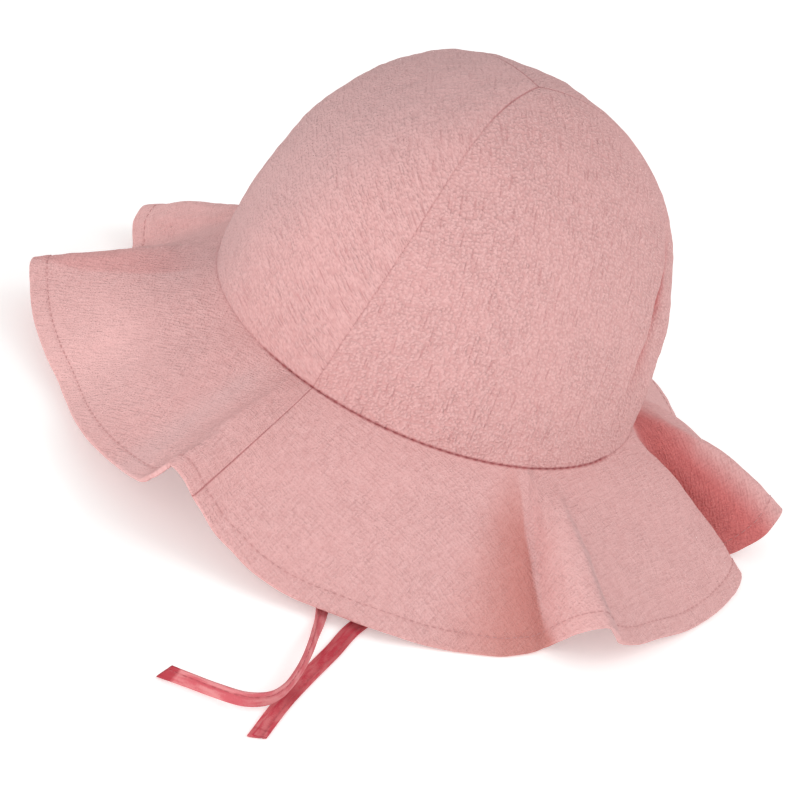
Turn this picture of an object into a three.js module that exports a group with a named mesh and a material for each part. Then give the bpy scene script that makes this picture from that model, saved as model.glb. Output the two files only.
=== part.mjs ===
import * as THREE from 'three';

// Sizes in millimetres, angles in degrees counted from +X towards +Y.
// The hat stands on its brim at z = 0, its front faces -Y and +Z is up.
const gap = 0.3;
const axis = { x: 3.3, y: -1.64 };
const opening = { side: 74, frontBack: 78.5, height: 45, backDrop: 5.8 };
const crown = {
  rise: 96, peak: 4.2, peakFrom: 0.6, leanBack: 5.6, leanRight: 3.5,
  sidePower: 2.85, topPower: 2.08, corners: 0.028, frontColumns: 20, sideColumns: 36,
};
const cloth = { crownWall: 1.5, brimWall: 1.2, hemWall: 1.6 };
const brim = {
  width: 66, reach: 54, drop: 36, bow: 1.5, fade: 1.2, rest: 1, turn: 0.12, hemFrom: 0.9, steps: 128,
};
const tie = { width: 6, thick: 1.4, chamfer: 0.4, steps: 40 };
const crease = { azimuth: 53, turn: 70, depth: 6, steep: 4, shallow: 12, at: 0.3, spread: 0.17 };
const gathers = { depth: 0.8, pitch: 9, from: 15, to: 140, start: 0.03, reach: 0.3 };

const crownRows = [0, 0.04, 0.11, 0.19, 0.28, 0.38, 0.49, 0.6, 0.71, 0.82, 0.91, 0.965, 0.99, 0.9986];
const brimRows = [0, 0.05, 0.2, 0.38, 0.56, 0.74, 0.895, 0.908, 0.982, 1];

const table = (columns, rows) => rows.map((row) =>
  Object.fromEntries(columns.split(' ').map((name, i) => [name, row[i]])));

// Where each crown seam leaves the brim, how far it bows on its way up, and how far it turns by the top.
const seams = Object.fromEntries(table('name azimuth bow turn', [
  ['left', 327.7, 5.6, 0],
  ['right', 210, 0, 0],
  ['back', 90, 0, 30],
]).map((row) => [row.name, row]));

// The ruffle: where a fold meets the rim, the rim's height there, how far it is tucked in, and how far
// the brim arches between the crown and the rim.
const folds = table('azimuth height tuck arch', [
  [6, 1.6, 0.5, 0], [13, 0.8, 1.2, 0], [17, 0.8, 1.6, -1], [21, 0.8, 3.5, -2], [24, 0.8, 5.4, -3],
  [26, 1.6, 7.6, -3], [26.8, 6, 8.4, -1], [27.6, 10.5, 8.4, 0.5], [28.8, 14, 8, 1], [30.4, 16.5, 7.4, 1],
  [32.2, 17.5, 6.4, 1], [33, 16, 3.6, 1], [34.4, 12.5, 2, 0.5], [38, 9.6, 1.5, 0], [45.5, 6, 2.6, 0],
  [55, 2.5, 0.6, 0], [64, 2.2, -0.8, 0], [72, 3, -1.8, 1], [77, 2.5, -1.6, 1], [79.6, 0.5, 7.5, -6],
  [82, 4, 2.5, -4], [84, 13, -0.5, 2], [86, 20.5, -0.5, 6.5], [90, 12.5, 0, 7], [96, 4.5, 0, 7],
  [102, 0, 0, 3], [112, 0, 0, 0], [130, 7, 0, 0], [146, 0, 0, 0], [158, 0, 0, 0],
  [177, 14, 0, 0], [196, 0, 0, 0], [205, 0, 0, 0], [213, 8, -1, 0], [221, 14, -2.5, 0],
  [226.5, 15, -4, 1], [229.5, 11, -4, 0], [232, 4.5, -2, -1], [237, 2, -1, -1], [243, 1.5, -1, 0],
  [250, 5.5, -1.2, 0], [256, 14, -2.8, -1], [261.5, 20, -3.2, -0.5], [266, 15.5, -2.7, 0],
  [272, 11, -1.8, 0], [279, 8, 0.5, 0], [287, 6, 2.6, 0], [299, 9.5, 1.8, 0], [307, 13, 0.8, 0],
  [313, 15, 0.8, 0], [318, 18.5, 0.8, 0], [320.5, 24, 1.5, 0], [322.5, 31, 5.5, 0], [324.5, 28.5, 7, 0],
  [327.7, 20, 6.8, 0], [331, 14, 4.8, 0], [334.6, 11, 3, 0], [338.2, 8, 0.8, 0], [344, 5.5, -0.4, 0],
  [350.4, 4.5, 0.4, 0], [357.5, 4.3, 0, 0],
]);

// The ties' centre lines from the crown seam to the free end, and how far the strap rolls off the flat.
const leftRoute = table('x y z roll', [
  [70.6, 0.5, 50, 0], [70.2, 0.6, 42, 0], [64, 2, 25, 0], [52, 5, 9, 0], [40, 10, 3.4, 20],
  [31, 18, 3.3, 60], [28, 28, 3.4, 85], [34, 37, 3.4, 90], [46, 39, 3.3, 85], [59, 33, 2.8, 60],
  [76, 20, 1.6, 15], [100, 3.6, 0.8, 0], [122.9, -12, 0.8, 0], [139, -19.2, 0.8, 0],
  [155.2, -26.9, 0.8, 0], [171.9, -34.4, 0.8, 0], [192.6, -42.2, 0.8, 0],
]);
const rightRoute = table('x y z roll', [
  [-70.6, 0.5, 50, 0], [-70.2, 0.5, 42, 0], [-66, -0.5, 26, 0], [-54, -2, 9, 0], [-36, -5, 2, 0],
  [-14, -8, 0.9, 0], [30, -13, 0.9, 0], [75, -18, 0.8, 0], [112, -22.4, 0.8, 0],
  [124, -23.6, 1.4, 8], [136, -25.8, 3.6, 45], [145, -27.4, 5.3, 60], [154.2, -29.4, 5.4, 70],
  [164.3, -32.4, 5.4, 78], [173, -36.1, 5.4, 86], [178.9, -40.9, 5.4, 90], [180.8, -47.6, 4.6, 90],
  [178.5, -56.3, 3.3, 90], [176.7, -64.6, 3.1, 90], [175.2, -73, 3.1, 82],
]);

const rad = THREE.MathUtils.degToRad;
const mod = THREE.MathUtils.euclideanModulo;
const clamp = THREE.MathUtils.clamp;
const smooth = (x, from, to) => THREE.MathUtils.smoothstep(x, from, to);

// A closed curve through one column of the folds that never swings past its rows.
function ruffle(column) {
  const count = folds.length;
  const step = folds.map((row, i) => mod(folds[(i + 1) % count].azimuth - row.azimuth, 360));
  const grade = folds.map((row, i) => (folds[(i + 1) % count][column] - row[column]) / step[i]);
  const slope = folds.map((row, i) => {
    const before = (i + count - 1) % count;
    if (grade[before] * grade[i] <= 0) return 0;
    const a = 2 * step[i] + step[before];
    const b = step[i] + 2 * step[before];
    return (a + b) / (a / grade[before] + b / grade[i]);
  });
  return (azimuth) => {
    const turn = mod(azimuth - folds[0].azimuth, 360);
    let i = 0;
    let passed = 0;
    while (i < count - 1 && passed + step[i] <= turn) {
      passed += step[i];
      i += 1;
    }
    const j = (i + 1) % count;
    const t = (turn - passed) / step[i];
    return folds[i][column] * (1 + 2 * t) * (1 - t) ** 2 + step[i] * slope[i] * t * (1 - t) ** 2
      + folds[j][column] * t * t * (3 - 2 * t) + step[i] * slope[j] * t * t * (t - 1);
  };
}
const rimHeight = ruffle('height');
const rimTuck = ruffle('tuck');
const rimArch = ruffle('arch');

function openingPoint(azimuth) {
  const a = rad(azimuth);
  return new THREE.Vector3(
    opening.side * Math.cos(a),
    opening.frontBack * Math.sin(a),
    opening.height - opening.backDrop * Math.sin(a),
  );
}

function seamAzimuth(name, t) {
  const seam = seams[name];
  return seam.azimuth + seam.bow * Math.sin(Math.PI * t) + seam.turn * t * t;
}

// How far the crown is drawn in at the back: one deep slanting crease and the small gathers above the brim.
function drawnIn(azimuth, t) {
  const off = mod(azimuth - crease.azimuth - crease.turn * t * t + 180, 360) - 180;
  const side = off < 0 ? crease.steep : crease.shallow;
  const dent = crease.depth * Math.exp(-((off / side) ** 2) - ((t - crease.at) / crease.spread) ** 2);
  const along = mod(azimuth - gathers.from, 360);
  const span = gathers.to - gathers.from;
  if (along >= span) return dent;
  const low = Math.max(0, 1 - t / gathers.reach) * Math.min(1, t / gathers.start);
  const window = Math.sqrt(Math.sin(Math.PI * along / span)) * low;
  return dent + gathers.depth * window * (0.5 - 0.5 * Math.cos(rad(360 * along / gathers.pitch)));
}

// The crown's outer face: t runs from 0 at the brim to 1 at the top.
function crownPoint(azimuth, t) {
  const a = rad(azimuth);
  const climb = t * Math.PI / 2;
  const corner = 1 - crown.corners * Math.sin(climb) ** 2 * Math.cos(rad(3 * (azimuth - 270)));
  const taper = Math.max(Math.cos(climb), 0) ** (2 / crown.sidePower) * corner;
  const up = Math.sin(climb) ** (2 / crown.topPower);
  const base = openingPoint(azimuth);
  const inward = drawnIn(azimuth, t);
  return new THREE.Vector3(
    base.x * taper - crown.leanRight * up - inward * Math.cos(a),
    base.y * taper + crown.leanBack * up - inward * Math.sin(a),
    opening.height + crown.rise * up + (base.z - opening.height) * taper
      + crown.peak * Math.max(0, (t - crown.peakFrom) / (1 - crown.peakFrom)) ** 2 + gap / 2,
  );
}

// The brim's upper face: t runs from 0 at the crown to 1 at the rim.
function brimPoint(azimuth, t) {
  const a = rad(azimuth);
  const base = openingPoint(azimuth);
  const drop = base.z - rimHeight(azimuth);
  const reach = Math.sqrt(brim.width ** 2 - drop ** 2) - rimTuck(azimuth);
  const fold = t ** brim.fade;
  const out = brim.reach * t + (reach - brim.reach) * fold;
  const arch = (brim.bow + rimArch(azimuth)) * Math.sin(Math.PI * t);
  const down = brim.drop * t + (drop - brim.drop) * fold - arch;
  return new THREE.Vector3(
    base.x + out * Math.cos(a),
    base.y + out * Math.sin(a),
    Math.max(base.z - down - gap / 2, Math.min(brim.rest, base.z)),
  );
}

// The outward normal of a face, from its neighbours a little way off.
function faceNormal(face, azimuth, t) {
  const d = 0.002;
  const across = face(azimuth + 0.2, t).sub(face(azimuth - 0.2, t));
  const along = face(azimuth, Math.min(t + d, 1)).sub(face(azimuth, Math.max(t - d, 0)));
  return across.cross(along).normalize();
}

// A closed wall between an outer and an inner grid of points, both numbered [column][row].
function wallGeometry(outer, inner) {
  const columns = outer.length;
  const rows = outer[0].length;
  const points = [...outer.flat(), ...inner.flat()];
  const at = (side, i, j) => side * columns * rows + i * rows + j;
  const index = [];
  const quad = (a, b, c, d) => index.push(a, b, c, a, c, d);
  for (let i = 0; i + 1 < columns; i += 1) {
    for (let j = 0; j + 1 < rows; j += 1) {
      quad(at(0, i, j), at(0, i + 1, j), at(0, i + 1, j + 1), at(0, i, j + 1));
      quad(at(1, i, j), at(1, i, j + 1), at(1, i + 1, j + 1), at(1, i + 1, j));
    }
    quad(at(0, i, 0), at(1, i, 0), at(1, i + 1, 0), at(0, i + 1, 0));
    quad(at(0, i, rows - 1), at(0, i + 1, rows - 1), at(1, i + 1, rows - 1), at(1, i, rows - 1));
  }
  const end = columns - 1;
  for (let j = 0; j + 1 < rows; j += 1) {
    quad(at(0, 0, j), at(0, 0, j + 1), at(1, 0, j + 1), at(1, 0, j));
    quad(at(0, end, j), at(1, end, j), at(1, end, j + 1), at(0, end, j + 1));
  }
  const geometry = new THREE.BufferGeometry().setFromPoints(points);
  geometry.setIndex(index);
  geometry.computeVertexNormals();
  return geometry;
}

// One crown gore between two seams, its edges half a gap from each.
function goreGeometry(from, to, columns) {
  const outer = [];
  const inner = [];
  for (let i = 0; i <= columns; i += 1) {
    outer.push([]);
    inner.push([]);
    for (const t of crownRows) {
      const start = seamAzimuth(from, t);
      const span = mod(seamAzimuth(to, t) - start, 360);
      const radius = opening.side * Math.cos(t * Math.PI / 2) ** (2 / crown.sidePower);
      const edge = THREE.MathUtils.radToDeg(gap / 2 / radius);
      const azimuth = start + edge + (span - 2 * edge) * i / columns;
      const point = crownPoint(azimuth, t);
      const normal = faceNormal(crownPoint, azimuth, Math.min(t, 0.99));
      outer[i].push(point);
      inner[i].push(point.clone().addScaledVector(normal, -cloth.crownWall));
    }
  }
  return wallGeometry(outer, inner);
}

// Azimuths that share the rim's length evenly between two seams.
function rimSteps(from, to, count) {
  const fine = 2000;
  const azimuths = Array.from({ length: fine + 1 }, (_, i) => from + (to - from) * i / fine);
  const lengths = [0];
  for (let i = 1; i <= fine; i += 1) {
    lengths.push(lengths[i - 1] + brimPoint(azimuths[i], 1).distanceTo(brimPoint(azimuths[i - 1], 1)));
  }
  const steps = [];
  let i = 0;
  for (let k = 0; k <= count; k += 1) {
    const wanted = lengths[fine] * k / count;
    while (i < fine - 1 && lengths[i + 1] < wanted) i += 1;
    const part = (wanted - lengths[i]) / (lengths[i + 1] - lengths[i]);
    steps.push(THREE.MathUtils.lerp(azimuths[i], azimuths[i + 1], part));
  }
  return steps;
}

// One length of brim between two seams, with the thicker turned hem along its rim.
function brimGeometry(from, to, columns) {
  const outer = [];
  const inner = [];
  const edge = THREE.MathUtils.radToDeg(gap / 2 / opening.side);
  for (const azimuth of rimSteps(from + edge, to - edge, columns)) {
    const upper = [];
    const lower = [];
    for (const t of brimRows) {
      const point = brimPoint(azimuth, t);
      const normal = faceNormal(brimPoint, azimuth, clamp(t, 0.02, 0.98)).negate();
      const outwards = new THREE.Vector3(Math.cos(rad(azimuth)), Math.sin(rad(azimuth)), 0);
      const away = outwards.lerp(normal, smooth(t, 0, brim.turn)).normalize();
      const wall = t > brim.hemFrom ? cloth.hemWall : cloth.brimWall;
      const under = point.clone().addScaledVector(away, -wall);
      under.z = Math.max(under.z, 0);
      upper.push(point);
      lower.push(under);
    }
    outer.push(upper);
    inner.push(lower);
  }
  return wallGeometry(inner, outer);
}

// A flat strap swept along its route: its width is carried down the drop, kept level along the floor and
// then rolled.
function tieGeometry(route) {
  const curve = new THREE.CatmullRomCurve3(route.map((row) => new THREE.Vector3(row.x, row.y, row.z)));
  curve.arcLengthDivisions = 600;
  const half = { w: tie.width / 2, t: tie.thick / 2 };
  const cut = tie.chamfer;
  const section = [
    [half.w, -half.t + cut], [half.w, half.t - cut], [half.w - cut, half.t], [cut - half.w, half.t],
    [-half.w, half.t - cut], [-half.w, cut - half.t], [cut - half.w, -half.t], [half.w - cut, -half.t],
  ];
  const points = [];
  const width = new THREE.Vector3(0, -1, 0);
  for (let i = 0; i <= tie.steps; i += 1) {
    const u = curve.getUtoTmapping(i / tie.steps);
    const centre = curve.getPoint(u);
    const tangent = curve.getTangent(u).normalize();
    const level = new THREE.Vector3(tangent.y, -tangent.x, 0);
    const lying = smooth(level.length(), 0.2, 0.6);
    level.normalize().multiplyScalar(level.dot(width) < 0 ? -1 : 1);
    width.lerp(level, lying);
    width.addScaledVector(tangent, -width.dot(tangent)).normalize();
    const place = u * (route.length - 1);
    const row = Math.min(Math.floor(place), route.length - 2);
    const roll = rad(THREE.MathUtils.lerp(route[row].roll, route[row + 1].roll, place - row));
    const across = width.clone().applyAxisAngle(tangent, -roll);
    const up = across.clone().cross(tangent);
    for (const [w, t] of section) {
      points.push(centre.clone().addScaledVector(across, w).addScaledVector(up, t));
    }
  }
  const sides = section.length;
  const index = [];
  for (let i = 0; i < tie.steps; i += 1) {
    for (let k = 0; k < sides; k += 1) {
      const a = i * sides + k;
      const b = i * sides + (k + 1) % sides;
      index.push(a, b + sides, b, a, a + sides, b + sides);
    }
  }
  const last = tie.steps * sides;
  for (let k = 1; k + 1 < sides; k += 1) {
    index.push(0, k, k + 1);
    index.push(last, last + k + 1, last + k);
  }
  const geometry = new THREE.BufferGeometry().setFromPoints(points);
  geometry.setIndex(index);
  geometry.computeVertexNormals();
  return geometry;
}

function piece(name, geometry, colour) {
  const mesh = new THREE.Mesh(geometry, new THREE.MeshStandardMaterial({ color: colour, roughness: 0.9 }));
  mesh.name = name;
  return mesh;
}

const cottonPink = 0xdcaaa8;
const tieRed = 0xc9606a;
const hat = new THREE.Group();
hat.name = 'sun_hat';
hat.position.set(axis.x, axis.y, 0);
const left = seams.left.azimuth;
const right = seams.right.azimuth;
const frontSteps = Math.round(brim.steps * (left - right) / 360);
hat.add(
  piece('crown_front', goreGeometry('right', 'left', crown.frontColumns), cottonPink),
  piece('crown_left', goreGeometry('left', 'back', crown.sideColumns), cottonPink),
  piece('crown_right', goreGeometry('back', 'right', crown.sideColumns), cottonPink),
  piece('brim_front', brimGeometry(right, left, frontSteps), cottonPink),
  piece('brim_back', brimGeometry(left, right + 360, brim.steps - frontSteps), cottonPink),
  piece('tie_left', tieGeometry(leftRoute), tieRed),
  piece('tie_right', tieGeometry(rightRoute), tieRed),
);

export default hat;
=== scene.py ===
import math
import bpy
import numpy as np
from mathutils import Matrix, Vector


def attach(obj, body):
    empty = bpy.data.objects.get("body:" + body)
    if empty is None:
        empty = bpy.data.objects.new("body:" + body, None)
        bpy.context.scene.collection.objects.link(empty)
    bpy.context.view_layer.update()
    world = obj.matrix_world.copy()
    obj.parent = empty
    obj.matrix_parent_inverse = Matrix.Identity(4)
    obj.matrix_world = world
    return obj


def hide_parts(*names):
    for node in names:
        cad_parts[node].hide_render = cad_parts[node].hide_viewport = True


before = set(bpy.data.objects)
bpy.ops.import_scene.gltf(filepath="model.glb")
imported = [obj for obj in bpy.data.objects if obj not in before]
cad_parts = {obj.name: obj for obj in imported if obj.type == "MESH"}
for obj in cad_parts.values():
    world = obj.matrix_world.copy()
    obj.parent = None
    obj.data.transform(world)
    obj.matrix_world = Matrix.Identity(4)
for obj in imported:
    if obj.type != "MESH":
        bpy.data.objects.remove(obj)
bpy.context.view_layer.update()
mm = 0.001
hatAxis = (3.3, -1.64)                         # where the crown's axis meets the floor, mm
rng = np.random.default_rng(11)
print("frame loaded:", ", ".join(sorted(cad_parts)))


# Shader nodes written as Python expressions
class Socket:
    def __init__(self, graph, output):
        self.graph, self.output = graph, output

    def maths(self, operation, a, b):
        return self.graph.node("ShaderNodeMath", {"operation": operation}, {0: a, 1: b})

    def __add__(self, other): return self.maths("ADD", self, other)
    def __radd__(self, other): return self.maths("ADD", other, self)
    def __sub__(self, other): return self.maths("SUBTRACT", self, other)
    def __rsub__(self, other): return self.maths("SUBTRACT", other, self)
    def __mul__(self, other): return self.maths("MULTIPLY", self, other)
    def __rmul__(self, other): return self.maths("MULTIPLY", other, self)


class Graph:
    def __init__(self, name):
        self.material = bpy.data.materials.new(name)
        self.material.use_nodes = True
        self.tree = self.material.node_tree
        self.tree.nodes.clear()
        self.shader = self.tree.nodes.new("ShaderNodeBsdfPrincipled")
        surface = self.tree.nodes.new("ShaderNodeOutputMaterial")
        self.tree.links.new(self.shader.outputs[0], surface.inputs["Surface"])

    def feed(self, socket, value):
        if isinstance(value, Socket):
            self.tree.links.new(value.output, socket)
        else:
            socket.default_value = value

    def node(self, kind, settings, sockets, output=0):
        made = self.tree.nodes.new(kind)
        for key, value in settings.items():
            setattr(made, key, value)
        for key, value in sockets.items():
            self.feed(made.inputs[key], value)
        return Socket(self, made.outputs[output])

    def mix(self, share, a, b):
        return self.node("ShaderNodeMix", {"data_type": "RGBA"}, {"Factor": share, 6: a, 7: b}, 2)

    def ramp(self, value, low, high):
        return self.node("ShaderNodeMapRange", {"interpolation_type": "SMOOTHSTEP"}, {
            "Value": value, "From Min": low, "From Max": high})

    def finish(self, look, **sockets):
        for key, value in {**look, **sockets}.items():
            self.feed(self.shader.inputs[key.replace("_", " ")], value)
        return self.material


def linear(red, green, blue):
    # a colour read off a screen, 0 to 255, as the linear colour that shaders take
    part = [c / 255 for c in (red, green, blue)]
    return tuple([c / 12.92 if c <= 0.04045 else ((c + 0.055) / 1.055) ** 2.4 for c in part] + [1.0])


# Camera, at the photograph's angle, with the picture rolled over to one side
camera = {
    "azimuth": 79, "elevation": 28, "roll": 21, "distance": 1100,
    "target": (*hatAxis, 45),                  # the middle of the crown seam, mm
    "offset": (9.8, 22.9),                     # how far right of and above the picture's middle it stands, mm
    "lens": 141.8, "sensor": 36, "near": 0.05, "far": 50,
}


def makeCamera():
    a, e, r = (math.radians(camera[k]) for k in ("azimuth", "elevation", "roll"))
    away = Vector((math.sin(a) * math.cos(e), -math.cos(a) * math.cos(e), math.sin(e)))
    right = Vector((math.cos(a), math.sin(a), 0))
    up = away.cross(right)
    across = right * math.cos(r) + up * math.sin(r)
    upright = up * math.cos(r) - right * math.sin(r)
    target = Vector(camera["target"]) * mm
    place = target + away * camera["distance"] * mm
    aim = target - across * camera["offset"][0] * mm - upright * camera["offset"][1] * mm
    back = (place - aim).normalized()
    across = upright.cross(back).normalized()
    upright = back.cross(across)
    data = bpy.data.cameras.new("hatCamera")
    data.lens, data.sensor_width = camera["lens"], camera["sensor"]
    data.clip_start, data.clip_end = camera["near"], camera["far"]
    made = bpy.data.objects.new("hatCamera", data)
    bpy.context.scene.collection.objects.link(made)
    turn = Matrix((across, upright, back)).transposed().to_4x4()
    made.matrix_world = Matrix.Translation(place) @ turn
    bpy.context.scene.camera = made


makeCamera()
print("camera placed")


# Small helpers for points, curves and random waves
def smooth(x, low, high):
    t = np.clip((x - low) / (high - low), 0, 1)
    return t * t * (3 - 2 * t)


def bell(x, width):
    return np.exp(-(x / width) ** 2)


def unit(v):
    return v / np.maximum(np.linalg.norm(v, axis=-1, keepdims=True), 1e-12)


def lengths(points):
    # how far along a line of points each one lies
    return np.concatenate([[0], np.cumsum(np.linalg.norm(np.diff(points, axis=0), axis=-1))])


def ripples(count, short, long):
    # soft random waves over a cut length of cloth, about 1 high, for wavelengths in mm
    turn = rng.uniform(0, 2 * np.pi, count)
    wave = 2 * np.pi / rng.uniform(short, long, count)
    phase = rng.uniform(0, 2 * np.pi, count)

    def height(u, v):
        total = np.zeros(np.shape(u))
        for a, k, p in zip(turn, wave, phase):
            total += np.sin(k * (u * np.cos(a) + v * np.sin(a)) + p)
        return total / math.sqrt(count / 2)
    return height


# how many waves, the shortest and the longest in mm, and how high they stand
slackWaves = {"wide": (14, 16, 38), "wideHeight": 0.2, "small": (18, 5, 11), "smallHeight": 0.08}
wideRipples = ripples(*slackWaves["wide"])
smallRipples = ripples(*slackWaves["small"])


def makeObject(name, points, faces, material):
    mesh = bpy.data.meshes.new(name)
    mesh.from_pydata((points * mm).tolist(), [], faces)
    mesh.shade_smooth()
    mesh.materials.append(material)
    made = bpy.data.objects.new(name, mesh)
    bpy.context.scene.collection.objects.link(made)
    return made


def setCut(made, cut):
    # the place of each point on the flat cloth, as UVs in metres
    corner = np.zeros(len(made.data.loops), int)
    made.data.loops.foreach_get("vertex_index", corner)
    layer = made.data.uv_layers.new(name="cut")
    layer.data.foreach_set("uv", (cut[corner] * mm).astype(np.float32).ravel())


# The hat's form in mm and degrees: as in the solids, with its seams drawn shut and a sharper crease
leftSeamAt, rightSeamAt, backSeamAt = 327.7, 210, 90
seamGap = 0.03
opening = {"side": 74, "frontBack": 78.5, "height": 45, "backDrop": 5.8}
crown = {
    "rise": 96, "peak": 4.2, "peakFrom": 0.6, "leanBack": 5.6, "leanRight": 3.5,
    "sidePower": 2.85, "topPower": 2.08, "corners": 0.028, "wall": 1.5, "taut": 6,
    "rows": 150, "rowsFrom": 2.6, "columnEvery": 1.0, "fineSteps": 4000,
    "top": 0.99995, "normalTo": 0.995, "tipRadius": 0.3, "tipLength": 0.01,
}
crease = {
    "azimuth": 53, "turn": 82, "depth": 6, "steep": 2.2, "shallow": 12, "at": 0.3, "spread": 0.17,
    "lip": 0.7, "lipBefore": 5.5, "lipWidth": 3,
    # painted shade deep in the crease, and a painted dark line at its bottom
    "paintedShading": {"share": 0.7, "after": 5.5, "width": 3.2, "height": 0.34, "spread": 0.12},
    "line": {"share": 0.95, "after": 3.6, "width": 3.2, "height": 0.35, "spread": 0.07},
}
facingShade = {"towards": (-0.5, -0.65, 0.57), "from": 0.25, "to": 0.75, "grey": 0.5}   # painted shade: the crown is painted greyer where it faces this way
gathers = {"depth": 0.8, "pitch": 9, "from": 15, "to": 140, "start": 0.03, "reach": 0.3}
seams = {                                      # azimuth at the brim, bow on the way up, turn by the top
    "left": (leftSeamAt, 5.6, 0),
    "right": (rightSeamAt, 0, 0),
    "back": (backSeamAt, 0, 30),
}
goreSeam = {
    "depth": 0.16, "width": 0.9, "line": 0.55, "dark": 0.14,
    "darkAtTop": 0.5, "topFrom": 0.7, "topTo": 0.93,
}
sideSeam = {"depth": 0.14, "width": 0.9, "line": 0.6, "dark": 0.55, "lean": -1.2, "reach": 14}
brimSeam = {
    "depth": 0.12, "width": 0.9, "line": 1.0, "dark": 0.85, "stitch": 3.0, "prick": 0.4,
    "nearFrom": -42, "nearTo": 53, "fadeIn": 12, "fadeOut": 6, "away": 0.2,
}
brim = {
    "width": 66, "reach": 54, "drop": 36, "bow": 1.5, "fade": 1.2, "rest": 1, "turn": 0.12, "wall": 1.2,
    "tautAtCrown": 8, "tautAtSide": 5, "topAbove": 0.35, "underAbove": 0.02,
    "rows": 40, "nearRow": 2.6, "rowsFrom": 3.4, "rowsTo": 2.4, "columnEvery": 1.05, "fineSteps": 6000,
    "normalFrom": 0.01, "normalTo": 0.985,
}
hem = {
    "width": 6.2, "wall": 1.6, "wallOver": (-0.8, 0.2), "puff": 0.2, "puffOver": (-0.2, 0.9),
    "groove": 0.11, "grooveWidth": 0.7, "underGroove": 0.6, "edge": 0.8, "edgeLeast": 0.03, "dark": 0.02,
    "pitch": 2.8, "stitch": 2.0, "thread": 0.11,
}

# azimuth, rim height, tuck, arch: a row for each rise, crest, fall and valley of the ruffle
folds = np.array([
    [6, 1.6, 0.5, 0], [13, 0.8, 1.2, 0], [17, 0.8, 1.6, -1], [21, 0.8, 3.5, -2], [24, 0.8, 5.4, -3],
    [26, 1.6, 7.6, -3], [26.8, 6, 8.4, -1], [27.6, 10.5, 8.4, 0.5], [28.8, 14, 8, 1], [30.4, 16.5, 7.4, 1],
    [32.2, 17.5, 6.4, 1], [33, 16, 3.6, 1], [34.4, 12.5, 2, 0.5], [38, 9.6, 1.5, 0], [45.5, 6, 2.6, 0],
    [55, 2.5, 0.6, 0], [64, 2.2, -0.8, 0], [72, 3, -1.8, 1], [77, 2.5, -1.6, 1], [79.6, 0.5, 7.5, -6],
    [82, 4, 2.5, -4], [84, 13, -0.5, 2], [86, 20.5, -0.5, 6.5], [90, 12.5, 0, 7], [96, 4.5, 0, 7],
    [102, 0, 0, 3], [112, 0, 0, 0], [130, 7, 0, 0], [146, 0, 0, 0], [158, 0, 0, 0],
    [177, 14, 0, 0], [196, 0, 0, 0], [205, 0, 0, 0], [213, 8, -1, 0], [221, 14, -2.5, 0],
    [226.5, 15, -4, 1], [229.5, 11, -4, 0], [232, 4.5, -2, -1], [237, 2, -1, -1], [243, 1.5, -1, 0],
    [250, 5.5, -1.2, 0], [256, 14, -2.8, -1], [261.5, 20, -3.2, -0.5], [266, 15.5, -2.7, 0],
    [272, 11, -1.8, 0], [279, 8, 0.5, 0], [287, 6, 2.6, 0], [299, 9.5, 1.8, 0], [307, 13, 0.8, 0],
    [313, 15, 0.8, 0], [318, 18.5, 0.8, 0], [320.5, 24, 1.5, 0], [322.5, 31, 5.5, 0], [324.5, 28.5, 7, 0],
    [327.7, 20, 6.8, 0], [331, 14, 4.8, 0], [334.6, 11, 3, 0], [338.2, 8, 0.8, 0], [344, 5.5, -0.4, 0],
    [350.4, 4.5, 0.4, 0], [357.5, 4.3, 0, 0],
])

# the folds that lie deepest, painted with shade: azimuth of the valley's edge at the rim and its turn by the
# crown, how wide it is at the rim and at the crown, how fast it ends past the edge, and how much painted
# shade, deep red or warm, it takes
valleys = [
    {"mark": "warmShade", "edge": 26.3, "lean": -3.4, "before": 25, "beforeAtCrown": 3,
     "after": 0.7, "afterAtCrown": 0.7, "from": -0.15, "over": 0.6, "paintedShading": 0.49},
    {"mark": "deep", "edge": 83.4, "lean": 0, "before": 6, "beforeAtCrown": 6,
     "after": 2.3, "afterAtCrown": 15, "from": -0.3, "over": 0.3, "paintedShading": 0.7},
    {"mark": "deep", "edge": 260.8, "lean": 13, "before": 7, "beforeAtCrown": 20,
     "after": 1.2, "afterAtCrown": 1.2, "from": 0.0, "over": 0.3, "paintedShading": 0.17},
]
valleyFade = {"crownReach": 0.45, "crownPower": 1.5, "widenPower": 0.6, "full": 0.85}
# painted light and shade: where the brim is painted a little paler as a highlight or greyer as a shade:
# azimuth, width, from and to between crown and rim, how much
paintedLightAndShade = {
    "pale": [
        (285, 17, 0.25, 0.7, 0.46), (29, 2.6, 0.1, 0.5, 0.2),
        (228, 6, 0.2, 0.6, 0.3), (315.3, 2.8, 0, 0.25, 0.4),
    ],
    "grey": [(315.3, 2.8, 0, 0.25, 0.4), (32.6, 0.7, 0.15, 0.4, 0.4), (268, 11, 0.5, 0.1, 0.4)],
}


def ruffle(column):
    # a closed curve through one column of the folds that never swings past its rows
    azimuth, value = folds[:, 0], folds[:, column]
    step = np.mod(np.roll(azimuth, -1) - azimuth, 360)
    grade = (np.roll(value, -1) - value) / step
    before, stepBefore = np.roll(grade, 1), np.roll(step, 1)
    a, b = 2 * step + stepBefore, step + 2 * stepBefore
    same = before * grade > 0
    slope = np.where(same, (a + b) / (a / np.where(same, before, 1) + b / np.where(same, grade, 1)), 0)
    passed = np.concatenate([[0], np.cumsum(step)])

    def curve(where):
        turn = np.mod(where - azimuth[0], 360)
        i = np.clip(np.searchsorted(passed, turn, side="right") - 1, 0, len(folds) - 1)
        j = (i + 1) % len(folds)
        t = (turn - passed[i]) / step[i]
        return (value[i] * (1 + 2 * t) * (1 - t) ** 2 + step[i] * slope[i] * t * (1 - t) ** 2
                + value[j] * t * t * (3 - 2 * t) + step[i] * slope[j] * t * t * (t - 1))
    return curve


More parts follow.
